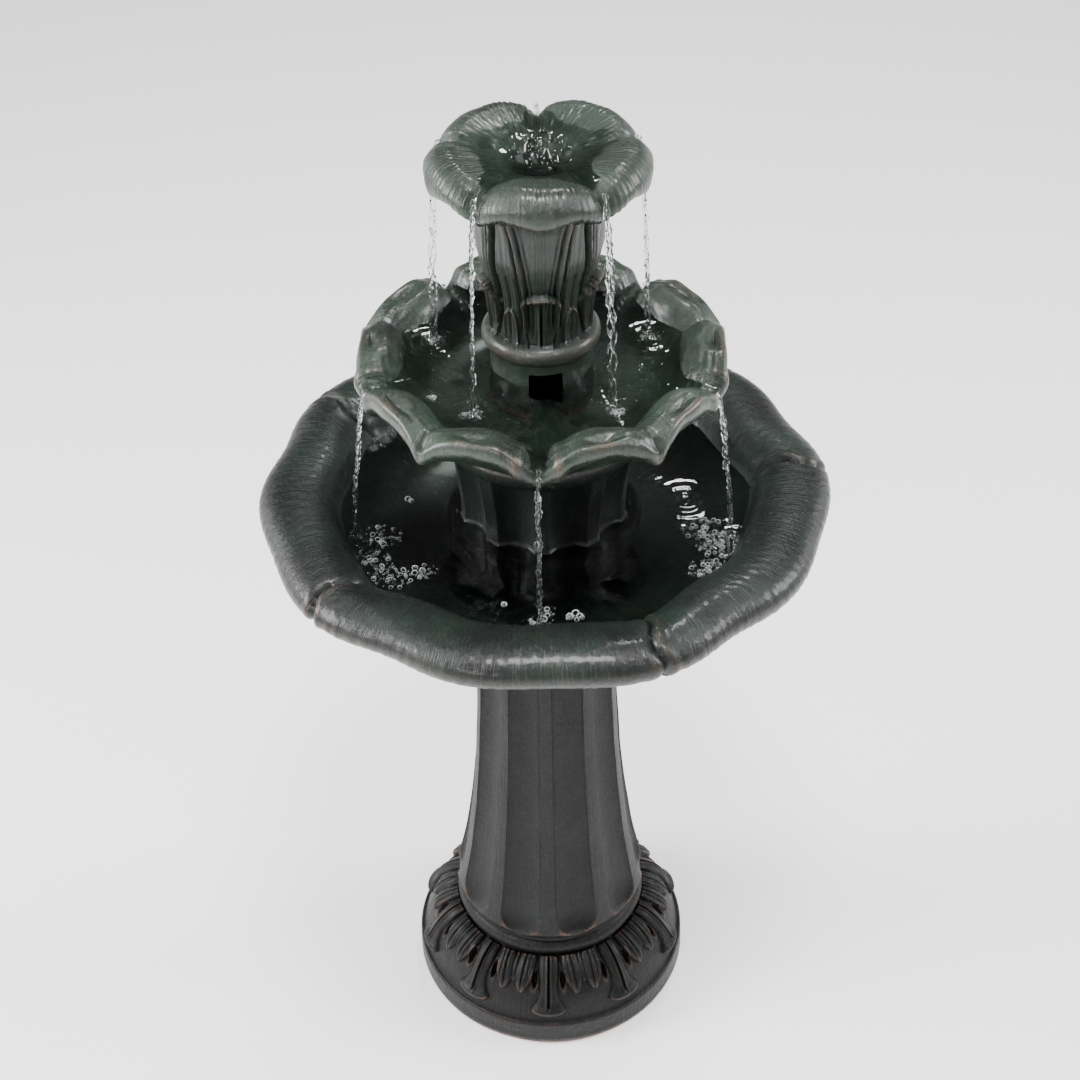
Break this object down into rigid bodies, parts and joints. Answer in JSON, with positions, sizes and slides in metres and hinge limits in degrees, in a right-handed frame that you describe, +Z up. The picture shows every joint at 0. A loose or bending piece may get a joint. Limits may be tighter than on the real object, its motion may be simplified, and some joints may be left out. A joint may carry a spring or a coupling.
{
  "type": "tiered water fountain",
  "caption": "Free-standing garden fountain: a lily on a vase spills into a lobed bowl, and that into a rolled-rim basin on a fluted pedestal, fed by a submersible pump.",
  "frame": {"origin": "centre of the plinth's underside, on the floor", "axes": "+Z up along the fountain's axis; -Y is the front; +X is to the right, seen from the front"},
  "size_m": [0.5093, 0.5016, 0.973],
  "materials": {
    "bronze_resin_dry": "satin dark bronze patina, rubbed copper on the edges",
    "bronze_resin_basin": "satin dark bronze patina, wet inside",
    "bronze_resin_wet": "wet dark bronze patina, rubbed copper on the crests",
    "black_rubber": "matt",
    "pump_plastic": "fine moulded grain",
    "dial_plastic": "moulded",
    "impeller_plastic": "moulded",
    "epoxy_potting": "poured resin",
    "ferrite_magnet": "sintered",
    "ceramic_shaft": "ground",
    "clear_vinyl": "clear tube"
  },
  "bodies": {
    "pedestal": {"pedestal": "bronze_resin_dry"},
    "basin": {"lower_basin": "bronze_resin_basin", "pump_housing": "pump_plastic", "stator_pack": "epoxy_potting", "rotor_shaft": "ceramic_shaft", "front_bush": "black_rubber", "rear_bush": "black_rubber", "volute_cover": "pump_plastic", "suction_cup_1": "black_rubber", "suction_cup_2": "black_rubber", "suction_cup_3": "black_rubber", "suction_cup_4": "black_rubber", "cord_gland": "black_rubber", "outlet_adapter": "pump_plastic", "riser_tube": "clear_vinyl"},
    "plug": {"cord_plug": "black_rubber"},
    "rotor": {"rotor_magnet": "ferrite_magnet", "impeller": "impeller_plastic"},
    "strainer": {"strainer_cover": "pump_plastic"},
    "dial": {"flow_dial": "dial_plastic"},
    "neck": {"pump_cover_neck": "bronze_resin_wet"},
    "bowl": {"middle_bowl": "bronze_resin_wet", "bowl_seal": "black_rubber"},
    "lily": {"top_lily": "bronze_resin_wet", "lily_seal": "black_rubber"}
  },
  "joints": [
    {"name": "basin_lift", "type": "slide", "parent": "pedestal", "child": "basin", "axis": [0, 0, 1], "range_m": [0, 0.1]},
    {"name": "neck_lift", "type": "slide", "parent": "basin", "child": "neck", "axis": [0, 0, 1], "range_m": [0, 0.12]},
    {"name": "bowl_lift", "type": "slide", "parent": "neck", "child": "bowl", "axis": [0, 0, 1], "range_m": [0, 0.1]},
    {"name": "lily_lift", "type": "slide", "parent": "bowl", "child": "lily", "axis": [0, 0, 1], "range_m": [0, 0.15]},
    {"name": "plug_pull", "type": "slide", "parent": "basin", "child": "plug", "axis": [0, 0, 1], "range_m": [0, 0.012]},
    {"name": "rotor_spin", "type": "hinge", "parent": "basin", "child": "rotor", "pos_m": [0, 0, 0.607], "axis": [0, 1, 0], "continuous": true},
    {"name": "strainer_pull", "type": "slide", "parent": "basin", "child": "strainer", "axis": [0, -1, 0], "range_m": [0, 0.014]},
    {"name": "dial_turn", "type": "hinge", "parent": "strainer", "child": "dial", "pos_m": [0, -0.0303, 0.607], "axis": [0, 1, 0], "range_deg": [0, 90]}
  ]
}
